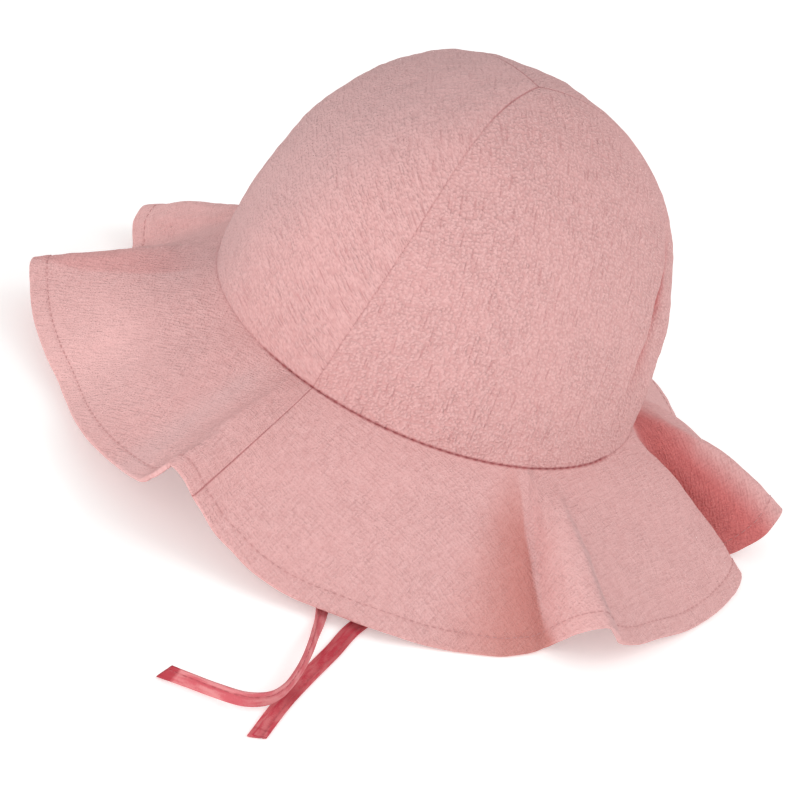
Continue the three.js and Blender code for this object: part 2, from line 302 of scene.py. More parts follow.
rimHeight, rimTuck, rimArch = ruffle(1), ruffle(2), ruffle(3)


def around(azimuth, centre):
    return np.mod(azimuth - centre + 180, 360) - 180


def valleyShade(azimuth, t, mark):
    # how much painted shade, deep red or warm, shows in the valleys between folds
    total = np.zeros(np.shape(azimuth + t))
    nearCrown = np.clip(1 - t / valleyFade["crownReach"], 0, 1) ** valleyFade["crownPower"]
    widened = t ** valleyFade["widenPower"]
    for row in valleys:
        if row["mark"] != mark:
            continue
        off = around(azimuth, row["edge"] + row["lean"] * (1 - t))
        before = row["beforeAtCrown"] + (row["before"] - row["beforeAtCrown"]) * widened
        after = row["after"] + (row["afterAtCrown"] - row["after"]) * nearCrown
        deepening = smooth(1 + off / before, 0, valleyFade["full"])
        shape = np.where(off < 0, deepening, 1 - smooth(off, 0, after))
        reached = smooth(t, row["from"], row["from"] + row["over"])
        total = np.maximum(total, row["paintedShading"] * shape * reached)
    return total


def paintedShare(azimuth, t, mark):
    # how much paler or greyer the brim is painted here, as painted highlight and painted shade
    total = np.zeros(np.shape(azimuth + t))
    for at, width, low, high, share in paintedLightAndShade[mark]:
        total += share * bell(around(azimuth, at), width) * smooth(t, low, high)
    return total


def creaseMark(azimuth, t, mark):
    # the painted shade in the crease, or the painted dark line at its bottom
    off = around(azimuth, crease["azimuth"] + crease["turn"] * t * t) - mark["after"]
    return mark["share"] * bell(off, mark["width"]) * bell(t - mark["height"], mark["spread"])


def openingPoint(azimuth):
    a = np.radians(azimuth)
    height = opening["height"] - opening["backDrop"] * np.sin(a)
    return opening["side"] * np.cos(a), opening["frontBack"] * np.sin(a), height


def seamAzimuth(name, t):
    azimuth, bow, turn = seams[name]
    return azimuth + bow * np.sin(np.pi * t) + turn * t * t


def drawnIn(azimuth, t):
    # the slanting crease at the back, whose near side overlaps, and the small gathers above the brim
    off = around(azimuth, crease["azimuth"] + crease["turn"] * t * t)
    side = np.where(off < 0, crease["steep"], crease["shallow"])
    lip = crease["lip"] * bell(off + crease["lipBefore"], crease["lipWidth"])
    dent = (crease["depth"] * bell(off, side) - lip) * bell(t - crease["at"], crease["spread"])
    along = np.mod(azimuth - gathers["from"], 360)
    share = np.clip(along / (gathers["to"] - gathers["from"]), 0, 1)
    low = np.clip(1 - t / gathers["reach"], 0, 1) * np.clip(t / gathers["start"], 0, 1)
    tuck = 0.5 - 0.5 * np.cos(np.radians(360 * along / gathers["pitch"]))
    return dent + gathers["depth"] * np.sqrt(np.sin(np.pi * share)) * low * tuck


def crownSurface(azimuth, t):
    # t runs from 0 at the brim to 1 at the top
    a, climb = np.radians(azimuth), t * np.pi / 2
    corner = 1 - crown["corners"] * np.sin(climb) ** 2 * np.cos(3 * (a - 1.5 * np.pi))
    taper = np.cos(climb) ** (2 / crown["sidePower"]) * corner
    up = np.sin(climb) ** (2 / crown["topPower"])
    x, y, z = openingPoint(azimuth)
    inward = drawnIn(azimuth, t)
    peak = crown["peak"] * np.clip((t - crown["peakFrom"]) / (1 - crown["peakFrom"]), 0, 1) ** 2
    rise = opening["height"] + crown["rise"] * up + (z - opening["height"]) * taper + peak
    return np.stack([
        x * taper - crown["leanRight"] * up - inward * np.cos(a),
        y * taper + crown["leanBack"] * up - inward * np.sin(a),
        rise + seamGap / 2,
    ], -1)


def brimSurface(azimuth, t):
    # t runs from 0 at the crown to 1 at the rim
    a = np.radians(azimuth)
    x, y, z = openingPoint(azimuth)
    drop = z - rimHeight(azimuth)
    reach = np.sqrt(brim["width"] ** 2 - drop ** 2) - rimTuck(azimuth)
    fold = t ** brim["fade"]
    out = brim["reach"] * t + (reach - brim["reach"]) * fold
    arch = (brim["bow"] + rimArch(azimuth)) * np.sin(np.pi * t)
    down = brim["drop"] * t + (drop - brim["drop"]) * fold - arch
    height = np.maximum(z - down - seamGap / 2, np.minimum(brim["rest"], z))
    return np.stack([x + out * np.cos(a), y + out * np.sin(a), height], -1)


def faceNormals(surface, azimuth, t):
    turn, step = 0.1, 0.001                    # degrees to each side, and a share of the way up or down
    across = surface(azimuth + turn, t) - surface(azimuth - turn, t)
    along = surface(azimuth, np.minimum(t + step, 1)) - surface(azimuth, np.maximum(t - step, 0))
    return unit(np.cross(across, along))


# rows and columns of faces stand close together beside a seam, this far from it in mm
besideSeam = np.array([0, 0.15, 0.35, 0.6, 0.9, 1.3, 1.9])
columnsFrom = 2.7


def edgeSteps(length, every):
    # shares of a length, evenly spaced but close together near both ends
    near, first = besideSeam / length, columnsFrom / length
    count = max(2, round((length * (1 - 2 * first)) / every))
    return np.concatenate([near, np.linspace(first, 1 - first, count + 1), 1 - near[::-1]])


def clothPiece(name, outer, inner, cut, marks, material):
    # a closed wall between two grids of points [column][row], with its flat cut and its marks: seam lines,
    # painted light and painted shade
    columns, rows = outer.shape[:2]
    points = np.concatenate([outer, inner[:, ::-1]], axis=1).reshape(-1, 3)
    ring = 2 * rows
    i, k = np.meshgrid(np.arange(columns - 1), np.arange(ring), indexing="ij")
    n = (k + 1) % ring
    sides = np.stack([i * ring + k, (i + 1) * ring + k, (i + 1) * ring + n, i * ring + n], -1).reshape(-1, 4)
    k = np.arange(rows - 1)
    cap = np.stack([k, k + 1, ring - 2 - k, ring - 1 - k], -1)
    quads = np.concatenate([sides, cap, cap[:, ::-1] + (columns - 1) * ring])
    a, b, c, d = (points[quads[:, j]] - points.mean(0) for j in range(4))
    volume = np.sum(a * np.cross(b, c)) + np.sum(a * np.cross(c, d))
    quads = quads if volume > 0 else quads[:, ::-1]
    made = makeObject(name, points + (*hatAxis, 0), quads.tolist(), material)
    setCut(made, np.concatenate([cut, cut[:, ::-1]], axis=1).reshape(-1, 2))
    for mark, value in marks.items():
        shade = np.concatenate([value, value[:, ::-1]], axis=1).astype(np.float32)
        made.data.attributes.new(mark, "FLOAT", "POINT").data.foreach_set("value", shade.ravel())
    return made


def gridArea(points):
    across, along = np.diff(points, axis=0)[:, :-1], np.diff(points, axis=1)[:-1]
    return np.linalg.norm(np.cross(across, along), axis=-1).sum() * mm * mm


def rolledIn(distance, seam):
    # how far cloth turns in beside a seam
    return seam["depth"] * np.clip(1 - distance / seam["width"], 0, 1) ** 2


def brimSeamDepth(azimuth):
    # the seam at the brim is pricked by its stitches, and it is pulled tight on the near side only
    turn = around(azimuth, 0)
    wave = np.cos(2 * np.pi * np.radians(turn) * opening["side"] / brimSeam["stitch"])
    prick = 1 - brimSeam["prick"] * (0.5 - 0.5 * wave)
    near = smooth(turn, brimSeam["nearFrom"] - brimSeam["fadeIn"], brimSeam["nearFrom"])
    near = near * (1 - smooth(turn, brimSeam["nearTo"], brimSeam["nearTo"] + brimSeam["fadeOut"]))
    return prick * (brimSeam["away"] + (1 - brimSeam["away"]) * near)


def seamLine(seam, fromSeam, fromBrimSeam, depth):
    # how dark the cloth is where it goes down into its own seams and the one between crown and brim
    sewn = seam["dark"] * smooth(-fromSeam, -seam["line"], 0)
    return np.maximum(sewn, brimSeam["dark"] * depth * smooth(-fromBrimSeam, -brimSeam["line"], 0))


def slack(u, v):
    wide, small = wideRipples(u, v), smallRipples(u, v)
    return slackWaves["wideHeight"] * wide + slackWaves["smallHeight"] * small


def makeGore(name, start, end, grain, material):
    t = np.linspace(0, crown["top"], crown["fineSteps"])
    along = lengths(crownSurface(np.full_like(t, grain), t))
    climb = np.concatenate([besideSeam, np.linspace(crown["rowsFrom"], along[-1], crown["rows"])])
    rows = np.interp(climb, along, t)
    span = np.mod(seamAzimuth(end, 0) - seamAzimuth(start, 0), 360)
    shares = edgeSteps(math.radians(span) * opening["side"], crown["columnEvery"])
    s, t = np.meshgrid(shares, rows, indexing="ij")
    radius = opening["side"] * np.cos(t * np.pi / 2) ** (2 / crown["sidePower"])
    begin = seamAzimuth(start, t)
    width = np.mod(seamAzimuth(end, t) - begin, 360)
    edge = np.degrees(seamGap / 2 / np.maximum(radius, crown["tipRadius"]))
    azimuth = begin + edge + (width - 2 * edge) * s
    base = crownSurface(azimuth, t)
    normal = faceNormals(crownSurface, azimuth, np.minimum(t, crown["normalTo"]))

    # laid flat, each row is an arc about the top and keeps its own length
    fromBrim = np.broadcast_to(climb, azimuth.shape)
    fromTop = np.maximum(along[-1] - fromBrim, crown["tipLength"])
    turn = np.radians(around(azimuth, grain)) * radius / fromTop
    u, v = fromTop * np.sin(turn), along[-1] - fromTop * np.cos(turn)

    fromSeam = np.minimum(s, 1 - s) * np.radians(width) * radius
    depth = brimSeamDepth(azimuth)
    roll = np.maximum(rolledIn(fromSeam, goreSeam), rolledIn(fromBrim, brimSeam) * depth)
    waves = slack(u, v) * smooth(fromSeam, 0, crown["taut"]) * smooth(fromBrim, 0, crown["taut"])
    outer = base + normal * (waves - roll)[..., None]
    inner = base - normal * crown["wall"]
    # the seam lines, and the crease's painted dark line
    line = np.maximum(seamLine(goreSeam, fromSeam, fromBrim, depth), creaseMark(azimuth, t, crease["line"]))
    nearTop = goreSeam["darkAtTop"] * smooth(t, goreSeam["topFrom"], goreSeam["topTo"])
    line = np.maximum(line, nearTop * smooth(-fromSeam, -goreSeam["line"], 0))
    # painted shade: greyer where the crown faces up and to one side, where the light falls off
    grey = facingShade["grey"] * smooth(normal @ unit(np.array(facingShade["towards"])), facingShade["from"], facingShade["to"])
    # painted shade in the crease
    marks = {"line": line, "deep": creaseMark(azimuth, t, crease["paintedShading"]), "grey": grey}
    made = clothPiece(name, outer, inner, np.stack([u, v], -1), marks, material)
    return made, (np.ptp(u) * mm, np.ptp(v) * mm), gridArea(base)


def brimFaces(azimuth, t, fromSeam, u, v):
    # the brim's upper and under faces, with its seams, hem and slack, and its painted light and shade
    base = brimSurface(azimuth, t)
    normal = -faceNormals(brimSurface, azimuth, np.clip(t, brim["normalFrom"], brim["normalTo"]))
    a = np.radians(azimuth)
    outwards = np.stack([np.cos(a), np.sin(a), np.zeros_like(a)], -1)
    under = unit(outwards + (normal - outwards) * smooth(t, 0, brim["turn"])[..., None])
    fromRim, fromCrown = (1 - t) * brim["width"], t * brim["width"]
    intoHem = hem["width"] - fromRim
    stitchLine = bell(intoHem, hem["grooveWidth"])
    depth = brimSeamDepth(azimuth)
    roll = np.maximum(rolledIn(fromSeam, sideSeam), rolledIn(fromCrown, brimSeam) * depth)
    waves = slack(u, v) * smooth(fromCrown, 0, brim["tautAtCrown"]) * smooth(fromSeam, 0, brim["tautAtSide"])
    lift = waves + hem["puff"] * smooth(intoHem, *hem["puffOver"]) - hem["groove"] * stitchLine - roll
    wall = brim["wall"] + (hem["wall"] - brim["wall"]) * smooth(intoHem, *hem["wallOver"])
    sunk = wall - hem["underGroove"] * hem["groove"] * stitchLine - waves
    fromEdge = np.clip(fromRim / hem["edge"], 0, 1)
    rounded = np.sqrt(np.clip(1 - (1 - fromEdge) ** 2, hem["edgeLeast"], 1))
    middle = base + (normal * lift[..., None] - under * sunk[..., None]) / 2
    half = (normal * lift[..., None] + under * sunk[..., None]) / 2 * rounded[..., None]
    outer, inner = middle + half, middle - half
    outer[..., 2] = np.maximum(outer[..., 2], brim["topAbove"])
    inner[..., 2] = np.maximum(inner[..., 2], brim["underAbove"])
    # painted highlights and painted shade on the brim
    marks = {mark: paintedShare(azimuth, t, mark) for mark in paintedLightAndShade}
    marks["line"] = np.maximum(seamLine(sideSeam, fromSeam, fromCrown, depth), hem["dark"] * stitchLine)
    # painted shade in the valleys between folds, deep red and warm
    marks["deep"] = valleyShade(azimuth, t, "deep")
    marks["warmShade"] = valleyShade(azimuth, t, "warmShade")
    return outer, inner, normal, marks


def leaned(azimuth, t):
    # the near side seam runs a little aslant to the rim
    return azimuth + sideSeam["lean"] * t * bell(around(azimuth, leftSeamAt), sideSeam["reach"])


def makeBrim(name, start, end, material, thread):
    # cut as part of a flat ring whose edges are as long as the crown seam and the ruffled rim
    fine = np.linspace(start, end, brim["fineSteps"])
    rim = lengths(brimSurface(fine, np.ones_like(fine)))
    seam = lengths(brimSurface(fine, np.zeros_like(fine)))
    ringTurn = (rim[-1] - seam[-1]) / brim["width"]
    ringInner = seam[-1] / ringTurn
    gapTurn = math.degrees(seamGap / 2 / opening["side"])
    shares = edgeSteps(rim[-1], brim["columnEvery"])
    columns = np.clip(np.interp(shares * rim[-1], rim, fine), start + gapTurn, end - gapTurn)
    evenRows = np.linspace(brim["rowsFrom"], brim["width"] - hem["width"] - brim["rowsTo"], brim["rows"])
    hemRows = hem["width"] + np.array([1.6, 1.0, 0.6, 0.3, 0, -0.3, -0.6, -1.0, -1.6])
    edgeRows = np.array([3.4, 2.2, 1.4, 1.0, 0.7, 0.45, 0.25, 0.1, 0])
    outerRows = brim["width"] - np.concatenate([hemRows, edgeRows])
    rows = np.concatenate([besideSeam, [brim["nearRow"]], evenRows, outerRows]) / brim["width"]

    def cloth(azimuth, t):
        along = np.interp(azimuth, fine, rim)
        angle = (along - np.interp(leftSeamAt, fine, rim)) / rim[-1] * ringTurn
        radius = ringInner + t * brim["width"]
        fromSeam = np.minimum(along, rim[-1] - along)
        return fromSeam, radius * np.sin(angle), radius * np.cos(angle)

    azimuth, t = np.meshgrid(columns, rows, indexing="ij")
    fromSeam, u, v = cloth(azimuth, t)
    outer, inner, _, marks = brimFaces(leaned(azimuth, t), t, fromSeam, u, v)
    made = clothPiece(name, outer, inner, np.stack([u, v], -1), marks, material)

    count = int(rim[-1] / hem["pitch"])
    place = np.interp((np.arange(count) + 0.5) / count * rim[-1], rim, fine)
    t = np.full(count, 1 - hem["width"] / brim["width"])
    top, below, normal, _ = brimFaces(leaned(place, t), t, *cloth(place, t))
    along = unit(np.gradient(top, axis=0))
    spots = np.concatenate([top, below]) + (*hatAxis, 0)
    stitches = makeStitches(name + "_hem", spots, np.concatenate([along, along]),
                            np.concatenate([normal, -normal]), hem, thread)
    halfTurn = min(ringTurn / 2, math.pi)
    ringOuter = ringInner + brim["width"]
    wide = 2 * ringOuter * (math.sin(halfTurn) if halfTurn < math.pi / 2 else 1)
    tall = ringOuter - (ringInner if halfTurn < math.pi / 2 else ringOuter) * math.cos(halfTurn)
    area = ringTurn / 2 * (ringOuter ** 2 - ringInner ** 2) * mm * mm
    return made, stitches, (wide * mm, tall * mm), area


stitchForm = {"rings": 7, "sides": 6, "rise": 1.1, "dive": 2.2}   # rise and dive in thread radii


def makeStitches(name, spots, along, normal, look, material):
    # small bent threads whose ends go down into the cloth
    bend = np.linspace(-1, 1, stitchForm["rings"])
    angle = np.linspace(0, 2 * np.pi, stitchForm["sides"], endpoint=False)
    across = np.cross(normal, along)
    rise = look["thread"] * (stitchForm["rise"] - stitchForm["dive"] * bend ** 4)
    line = (spots[:, None] + along[:, None] * (bend * look["stitch"] / 2)[:, None]
            + normal[:, None] * rise[:, None])
    ringOffset = across[:, None] * np.cos(angle)[:, None] + normal[:, None] * np.sin(angle)[:, None]
    points = line[:, :, None] + ringOffset[:, None] * look["thread"]
    rings, sides = len(bend), len(angle)
    i, k = np.meshgrid(np.arange(rings - 1), np.arange(sides), indexing="ij")
    n = (k + 1) % sides
    one = np.stack([i * sides + k, (i + 1) * sides + k, (i + 1) * sides + n, i * sides + n], -1)
    starts = np.arange(len(spots)) * rings * sides
    quads = (one.reshape(1, -1, 4) + starts[:, None, None]).reshape(-1, 4)
    return makeObject(name, points.reshape(-1, 3), quads.tolist(), material)


# Cotton crepe: small round puffs, fine ribs both ways and a few darker streaks, sizes in mm
cotton = {
    # the pale colour is painted highlight, the grey one painted shade and greyish highlight; the two dark
    # reds and the warm brown are painted shade in the folds and the crease; the seam colour also paints the
    # dark line in the crease
    "light": linear(233, 183, 181), "dark": linear(217, 164, 162), "pale": linear(255, 203, 200),
    "grey": linear(200, 166, 166), "seam": linear(168, 72, 76), "streak": linear(190, 124, 124),
    "deepLight": linear(213, 88, 84), "deepDark": linear(188, 66, 68), "warmShade": linear(189, 90, 70),
    "puff": 1.1, "puffTall": 1.15, "puffEdge": (0.75, 0.05),
    "fine": 0.7, "ribWidth": 1.2, "ribLength": 5.5, "toneEdge": (0.34, 0.66), "bump": 1.0, "bumpHeight": 1.6,
    "streakWidth": 1.0, "streakLength": 10, "streakEdge": (0.36, 0.24),
    "streakDepth": 0.04, "streakTone": 0.3,
    "patch": 22, "patchEdge": (0.35, 0.6), "patchDepth": 0.2, "patchTone": 0.06,
}
clothLook = {"Roughness": 0.93, "Specular IOR Level": 0.12, "Sheen Weight": 0.08, "Sheen Roughness": 0.5}


def onCloth(g, wide, tall):
    # the place on the flat cloth, counted in steps of this width and height in mm
    cut = g.node("ShaderNodeUVMap", {"uv_map": "cut"}, {})
    return g.node("ShaderNodeVectorMath", {"operation": "MULTIPLY"}, {
        0: cut, 1: (1 / (wide * mm), 1 / (tall * mm), 1)})


def clothNoise(g, wide, tall, detail=1.0):
    return g.node("ShaderNodeTexNoise", {"noise_dimensions": "2D"}, {
        "Vector": onCloth(g, wide, tall), "Scale": 1.0, "Detail": detail})


def clothMark(g, name):
    # how much of one of the piece's marks shows here: a seam line, painted light or painted shade
    return g.node("ShaderNodeAttribute", {"attribute_name": name}, {}, "Fac")


def cottonMaterial(name, turned, crepe):
    g = Graph(name)

    def grain(wide, tall):
        # crosswise cloth has its pattern turned a quarter
        return (tall, wide) if turned else (wide, tall)

    puff, ribWidth = cotton["puff"] * crepe["scale"], cotton["ribWidth"] * crepe["scale"]
    gaps = g.node("ShaderNodeTexVoronoi", {"voronoi_dimensions": "2D", "feature": "F1"}, {
        "Vector": onCloth(g, *grain(puff, puff * cotton["puffTall"])), "Scale": 1.0}, "Distance")
    puffs = g.ramp(gaps, *cotton["puffEdge"])
    fine = clothNoise(g, cotton["fine"], cotton["fine"])
    ribs = clothNoise(g, *grain(ribWidth, cotton["ribLength"]))
    crossRibs = clothNoise(g, *grain(cotton["ribLength"], ribWidth))
    patches = clothNoise(g, cotton["patch"], cotton["patch"])
    streaks = clothNoise(g, *grain(cotton["streakWidth"], cotton["streakLength"]))
    streak = g.ramp(streaks, *cotton["streakEdge"]) * crepe["streaks"]
    weave = (puffs * crepe["puffs"] + ribs * crepe["ribs"]
             + crossRibs * crepe["crossRibs"] + fine * crepe["fine"])
    crinkled = g.ramp(patches, *cotton["patchEdge"]) * cotton["patchDepth"] + (1 - cotton["patchDepth"])
    height = (weave - 0.5) * (crinkled * crepe["depth"]) + 0.5 - streak * cotton["streakDepth"]
    tone = g.ramp(height + (patches - 0.5) * cotton["patchTone"], *cotton["toneEdge"])
    # painted shade for the folds and the crease, mottled like the cloth
    deep = g.mix(tone, cotton["deepDark"], cotton["deepLight"])
    colour = g.mix(tone, cotton["dark"], cotton["light"])
    colour = g.mix(streak * cotton["streakTone"], colour, cotton["streak"])
    # painted highlight and painted shade laid over the cloth, then the seam lines and the crease's painted
    # dark line
    colour = g.mix(clothMark(g, "pale"), colour, cotton["pale"])
    colour = g.mix(clothMark(g, "grey"), colour, cotton["grey"])
    colour = g.mix(clothMark(g, "deep"), colour, deep)
    colour = g.mix(clothMark(g, "warmShade"), colour, cotton["warmShade"])
    colour = g.mix(clothMark(g, "line"), colour, cotton["seam"])
    bump = g.node("ShaderNodeBump", {}, {
        "Strength": cotton["bump"], "Distance": cotton["bumpHeight"] * mm, "Height": height})
    return g.finish(clothLook, Base_Color=colour, Normal=bump)


threadLook = {"twist": 2600.0, "shade": 0.7, "bump": 0.4, "bumpHeight": 0.1}


def threadMaterial(name, colour):
    g = Graph(name)
    place = g.node("ShaderNodeTexCoord", {}, {}, "Object")
    twist = g.node("ShaderNodeTexNoise", {}, {"Vector": place, "Scale": threadLook["twist"], "Detail": 1.0})
    shaded = tuple(c * threadLook["shade"] for c in colour[:3]) + (1.0,)
    bump = g.node("ShaderNodeBump", {}, {
        "Strength": threadLook["bump"], "Distance": threadLook["bumpHeight"] * mm, "Height": twist})
    return g.finish(clothLook, Base_Color=g.mix(twist, colour, shaded), Normal=bump)


upright = cottonMaterial("cottonUpright", False, {
    "puffs": 0.28, "ribs": 0.32, "crossRibs": 0.18, "fine": 0.22,
    "scale": 1.0, "depth": 0.92, "streaks": 1.0,
})
crosswise = cottonMaterial("cottonCrosswise", True, {
    "puffs": 0.2, "ribs": 0.4, "crossRibs": 0.2, "fine": 0.2,
    "scale": 1.0, "depth": 0.92, "streaks": 1.0,
})
brimCotton = cottonMaterial("cottonBrim", False, {
    "puffs": 0.14, "ribs": 0.34, "crossRibs": 0.34, "fine": 0.18,
    "scale": 0.7, "depth": 0.72, "streaks": 0.3,
})
hemThread = threadMaterial("hemThread", linear(220, 165, 164))

gores = {                                      # seams at both sides, azimuth of the grain, cloth
    "crown_front": ("right", "left", 269, crosswise),
    "crown_left": ("left", "back", 10, upright),
    "crown_right": ("back", "right", 150, upright),
}
brimLengths = {                                # azimuths of the side seams at both ends
    "brim_front": (rightSeamAt, leftSeamAt),
    "brim_back": (leftSeamAt, rightSeamAt + 360),
}


def printCut(node, flat, area):
    print(node, "cut from", [round(side / mm) for side in flat], "mm, area", round(area, 4), "m2")


pieces = {}
for node, (start, end, grain, cloth) in gores.items():
    made, flat, area = makeGore(node + "_cloth", start, end, grain, cloth)
    pieces[node] = made
    printCut(node, flat, area)
for node, (start, end) in brimLengths.items():
    made, stitches, flat, area = makeBrim(node + "_cloth", start, end, brimCotton, hemThread)
    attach(stitches, "root")
    pieces[node] = made
    printCut(node, flat, area)
for node, made in pieces.items():
    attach(made, "root")
    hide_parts(node)
print("crown and brim sewn:", sum(len(made.data.polygons) for made in pieces.values()), "faces")


# Ties: flat folded straps from the crown seam to the floor and out to the left, stitched along one edge
tie = {
    "width": 5.4, "thick": 1.2, "steps": 300, "sides": 48, "roundness": 0.5, "above": 0.03,
    "edge": 1.5, "dip": 0.22, "dipWidth": 0.35, "edgeFold": 0.4,
    "hem": 3.6, "hemDip": 0.3, "hemDipWidth": 0.5, "hemFold": 0.5, "hemFoldWidth": 0.45,
    "endFrom": 0.5, "endTo": 0.2, "slant": 1.7, "slantOver": 7,
    "pitch": 2.4, "stitch": 1.7, "thread": 0.11,
}
tieCotton = {                                  # sizes of the weave in mm, its shares of colour and bump
    # the dark colour of the sewn edges and folds, also used for painted shadow
    "fold": linear(172, 44, 58),
    "weave": 0.5, "creases": (0.9, 5.0), "patches": (2.4, 12), "patchDetail": 2.0,
    "tone": {"patches": 0.6, "creases": 0.28, "weave": 0.12}, "toneEdge": (0.36, 0.62),
    "height": {"weave": 0.4, "creases": 0.6}, "bump": 0.7, "bumpHeight": 0.5,
}
tieLooks = {                                   # how dark its end is, and how much the brim pinches it
    "tie_left": {
        "light": linear(214, 116, 120), "dark": linear(201, 68, 82), "end": 0.0, "pinch": 0.0,
        "deep": [(134, 15, 0.5), (168, 6, 0.7)],   # painted shadow under the brim and where the other tie crosses over: place, reach and how dark
    },
    "tie_right": {
        "light": linear(222, 142, 144), "dark": linear(207, 100, 108), "end": 0.85, "pinch": 0.36,
        "deep": [],
    },
}
pinch = {"x": 130, "reach": 17}                # where the brim's rim presses on a tie, mm
routes = {                                     # x, y, z of the centre line and the strap's roll
    "tie_left": [
        [70.6, 0.5, 50, 0], [70.2, 0.6, 42, 0], [64, 2, 25, 0], [52, 5, 9, 0], [40, 10, 3.4, 20],
        [31, 18, 3.3, 60], [28, 28, 3.4, 85], [34, 37, 3.4, 90], [46, 39, 3.3, 85], [59, 33, 2.8, 60],
        [76, 20, 1.6, 15], [100, 3.6, 0.8, 0], [122.9, -12, 0.8, 0], [139, -19.2, 0.8, 0],
        [155.2, -26.9, 0.8, 0], [171.9, -34.4, 0.8, 0], [192.6, -42.2, 0.8, 0],
    ],
    "tie_right": [
        [-70.6, 0.5, 50, 0], [-70.2, 0.5, 42, 0], [-66, -0.5, 26, 0], [-54, -2, 9, 0], [-36, -5, 2, 0],
        [-14, -8, 0.9, 0], [30, -13, 0.9, 0], [75, -18, 0.8, 0], [112, -22.4, 0.8, 0],
        [124, -23.6, 1.4, 8], [136, -25.8, 3.6, 45], [145, -27.4, 5.3, 60], [154.2, -29.4, 5.4, 70],
        [164.3, -32.4, 5.4, 78], [173, -36.1, 5.4, 86], [178.9, -40.9, 5.4, 90], [180.8, -47.6, 4.6, 90],
        [178.5, -56.3, 3.3, 90], [176.7, -64.6, 3.1, 90], [175.2, -73, 3.1, 82],
    ],
}
routeSteps = 40                                # steps of the curve between two points of a route


def smoothRoute(route, count):
    # a centripetal curve through the points, then even steps along it
    points = np.array(route, float)
    points[:, :2] += hatAxis
    ends = np.concatenate([[2 * points[0] - points[1]], points, [2 * points[-1] - points[-2]]])
    fine = []
    for p0, p1, p2, p3 in zip(ends, ends[1:], ends[2:], ends[3:]):
        t1 = np.linalg.norm((p1 - p0)[:3]) ** 0.5
        t2 = t1 + np.linalg.norm((p2 - p1)[:3]) ** 0.5
        t3 = t2 + np.linalg.norm((p3 - p2)[:3]) ** 0.5
        t = np.linspace(t1, t2, routeSteps, endpoint=False)[:, None]
        a1 = (t1 - t) / t1 * p0 + t / t1 * p1
        a2 = (t2 - t) / (t2 - t1) * p1 + (t - t1) / (t2 - t1) * p2
        a3 = (t3 - t) / (t3 - t2) * p2 + (t - t2) / (t3 - t2) * p3
        b1 = (t2 - t) / t2 * a1 + t / t2 * a2
        b2 = (t3 - t) / (t3 - t1) * a2 + (t - t1) / (t3 - t1) * a3
        fine.append((t2 - t) / (t2 - t1) * b1 + (t - t1) / (t2 - t1) * b2)
    fine = np.concatenate(fine + [points[-1:]])
    run = lengths(fine[:, :3])
    even = np.linspace(0, run[-1], count)
    return np.stack([np.interp(even, run, fine[:, k]) for k in range(4)], -1), run[-1]


lying = {"from": 0.2, "to": 0.6}               # how level a strap runs when it starts and ends turning flat


def strapFrames(line):
    # the strap's width is carried down the drop, kept level along the floor and then rolled
    tangent = unit(np.gradient(line[:, :3], axis=0))
    width = np.array([0, -1.0, 0])
    across = []
    for direction, roll in zip(tangent, np.radians(line[:, 3])):
        level = np.array([direction[1], -direction[0], 0])
        flatness = smooth(np.linalg.norm(level), lying["from"], lying["to"])
        level = unit(level) * (-1 if level @ width < 0 else 1)
        width = width + (level - width) * flatness
        width = unit(width - direction * (width @ direction))
        side = np.cross(direction, width)
        across.append(width * math.cos(roll) - side * math.sin(roll))
    across = np.array(across)
    return tangent, across, np.cross(across, tangent)


def tieMaterial(name, look):
    g = Graph(name)
    weave = clothNoise(g, tieCotton["weave"], tieCotton["weave"])
    creases = clothNoise(g, *tieCotton["creases"])
    patches = clothNoise(g, *tieCotton["patches"], tieCotton["patchDetail"])
    share, rise = tieCotton["tone"], tieCotton["height"]
    tone = patches * share["patches"] + creases * share["creases"] + weave * share["weave"]
    colour = g.mix(g.ramp(tone, *tieCotton["toneEdge"]), look["dark"], look["light"])
    # the line mark darkens the sewn edges, the folded end and its hem, and carries the painted shadow
    colour = g.mix(clothMark(g, "line"), colour, tieCotton["fold"])
    height = weave * rise["weave"] + creases * rise["creases"]
    bump = g.node("ShaderNodeBump", {}, {
        "Strength": tieCotton["bump"], "Distance": tieCotton["bumpHeight"] * mm, "Height": height})
    return g.finish(clothLook, Base_Color=colour, Normal=bump)


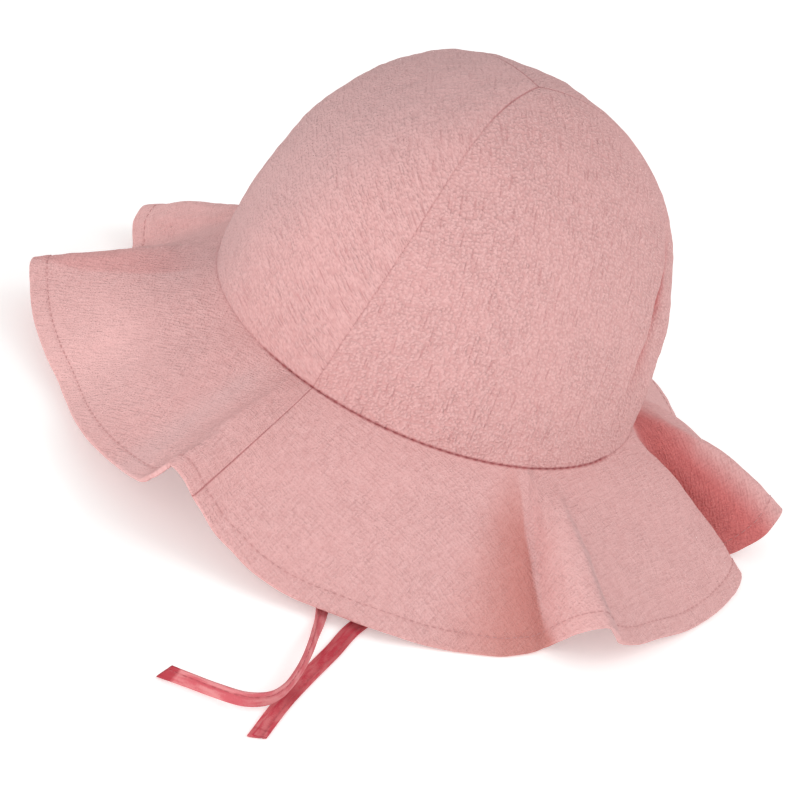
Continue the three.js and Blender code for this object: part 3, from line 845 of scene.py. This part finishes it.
def makeTie(name, route, look, material, thread):
    line, run = smoothRoute(route, tie["steps"])
    tangent, across, up = strapFrames(line)
    along = np.linspace(0, run, len(line))
    toEnd = run - along
    place = line[:, 0] - hatAxis[0]
    narrow = 1 - look["pinch"] * bell(place - pinch["x"], pinch["reach"])
    # painted shadow along the strap
    deep = sum((share * bell(place - at, reach) for at, reach, share in look["deep"]), np.zeros(len(line)))
    slant = tie["slant"] * np.clip(1 - toEnd / tie["slantOver"], 0, 1)
    halfWidth, halfThick = tie["width"] / 2, tie["thick"] / 2

    def strapPoints(w, h, i):
        # a place w across the strap and h above its middle, at step i, with the end cut at a slant
        return (line[i, :3] + across[i] * (w * narrow[i])[..., None] + up[i] * h[..., None]
                - tangent[i] * (w / halfWidth * slant[i])[..., None])

    angle = np.linspace(0, 2 * np.pi, tie["sides"], endpoint=False)
    w = halfWidth * np.sign(np.cos(angle)) * np.abs(np.cos(angle)) ** tie["roundness"]
    h = halfThick * np.sign(np.sin(angle)) * np.abs(np.sin(angle)) ** tie["roundness"]
    sewn = bell(halfWidth - w - tie["edge"], tie["dipWidth"])
    h = h - np.sign(h) * tie["dip"] * sewn
    folded = 1 - tie["hemDip"] * bell(toEnd - tie["hem"], tie["hemDipWidth"])
    i, k = np.meshgrid(np.arange(len(line)), np.arange(len(angle)), indexing="ij")
    points = strapPoints(w[k], h[k] * folded[i], i).reshape(-1, 3)
    points[:, 2] = np.maximum(points[:, 2], tie["above"])
    ring = len(angle)
    a, b = (i * ring + k)[:-1], (i * ring + (k + 1) % ring)[:-1]
    quads = np.stack([a, b, b + ring, a + ring], -1).reshape(-1, 4)
    ends = [list(range(ring))[::-1], list(range(len(points) - ring, len(points)))]
    made = makeObject(name, points, quads.tolist() + ends, material)
    girth = np.cumsum(np.hypot(np.diff(w, append=w[:1]), np.diff(h, append=h[:1])))
    setCut(made, np.stack([girth[k], along[i]], -1).reshape(-1, 2))
    atEnd = look["end"] * (1 - smooth(toEnd, tie["hem"] - tie["endFrom"], tie["hem"] + tie["endTo"]))
    atHem = tie["hemFold"] * bell(toEnd - tie["hem"], tie["hemFoldWidth"])
    shade = np.maximum(tie["edgeFold"] * sewn[k], np.maximum(np.maximum(atEnd, atHem), deep)[i])
    mark = made.data.attributes.new("line", "FLOAT", "POINT")
    mark.data.foreach_set("value", shade.astype(np.float32).ravel())

    count = int(run / tie["pitch"])
    step = np.round((np.arange(count) + 0.5) / count * (len(line) - 1)).astype(int)
    reach = np.full(count, halfWidth - tie["edge"])
    lift = np.full(count, halfThick - tie["dip"])
    spots = np.concatenate([strapPoints(reach, lift, step), strapPoints(reach, -lift, step)])
    forward = np.concatenate([tangent[step]] * 2)
    facing = np.concatenate([up[step], -up[step]])
    stitches = makeStitches(name + "_stitches", spots, forward, facing, tie, thread)
    return made, stitches, line[:, :3] * mm, run * mm


tieThread = threadMaterial("tieThread", linear(204, 104, 112))
for node, route in routes.items():
    look = tieLooks[node]
    cloth = tieMaterial(node + "Cotton", look)
    made, stitches, path, run = makeTie(node + "_strap", route, look, cloth, tieThread)
    for piece in (made, stitches):
        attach(piece, "root")
    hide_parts(node)
    print(node, "is", round(run, 3), "m long")


# Floor and light
floorLook = {"size": 8, "colour": linear(251, 250, 249), "roughness": 0.8, "glow": 0.3}
lights = {                                     # place, size in metres, power
    "left": ((0.68, -0.53, 0.31), 0.8, 3.2),
    "right": ((0.14, 0.95, 1.0), 1.0, 5.1),
}
lightAim = (0, 0, 0.07)                        # a point inside the crown, in metres
room = {"colour": (1, 1, 1, 1), "strength": 0.65}


def makeFloor():
    half = floorLook["size"] / 2 / mm
    corners = np.array([(-half, -half, 0), (half, -half, 0), (half, half, 0), (-half, half, 0)])
    g = Graph("paleFloor")
    material = g.finish({
        "Roughness": floorLook["roughness"], "Base Color": floorLook["colour"],
        "Emission Color": floorLook["colour"], "Emission Strength": floorLook["glow"]})
    makeObject("floor", corners, [(0, 1, 2, 3)], material)


def makeLights():
    for name, (place, size, power) in lights.items():
        data = bpy.data.lights.new(name, "AREA")
        data.size, data.energy = size, power
        made = bpy.data.objects.new(name, data)
        bpy.context.scene.collection.objects.link(made)
        made.location = place
        made.rotation_euler = (Vector(lightAim) - Vector(place)).to_track_quat("-Z", "Y").to_euler()
    world = bpy.data.worlds.new("studio")
    world.use_nodes = True
    background = world.node_tree.nodes["Background"]
    background.inputs["Color"].default_value = room["colour"]
    background.inputs["Strength"].default_value = room["strength"]
    bpy.context.scene.world = world
    bpy.context.scene.view_settings.view_transform = "Standard"


makeFloor()
makeLights()
print("floor and light set")
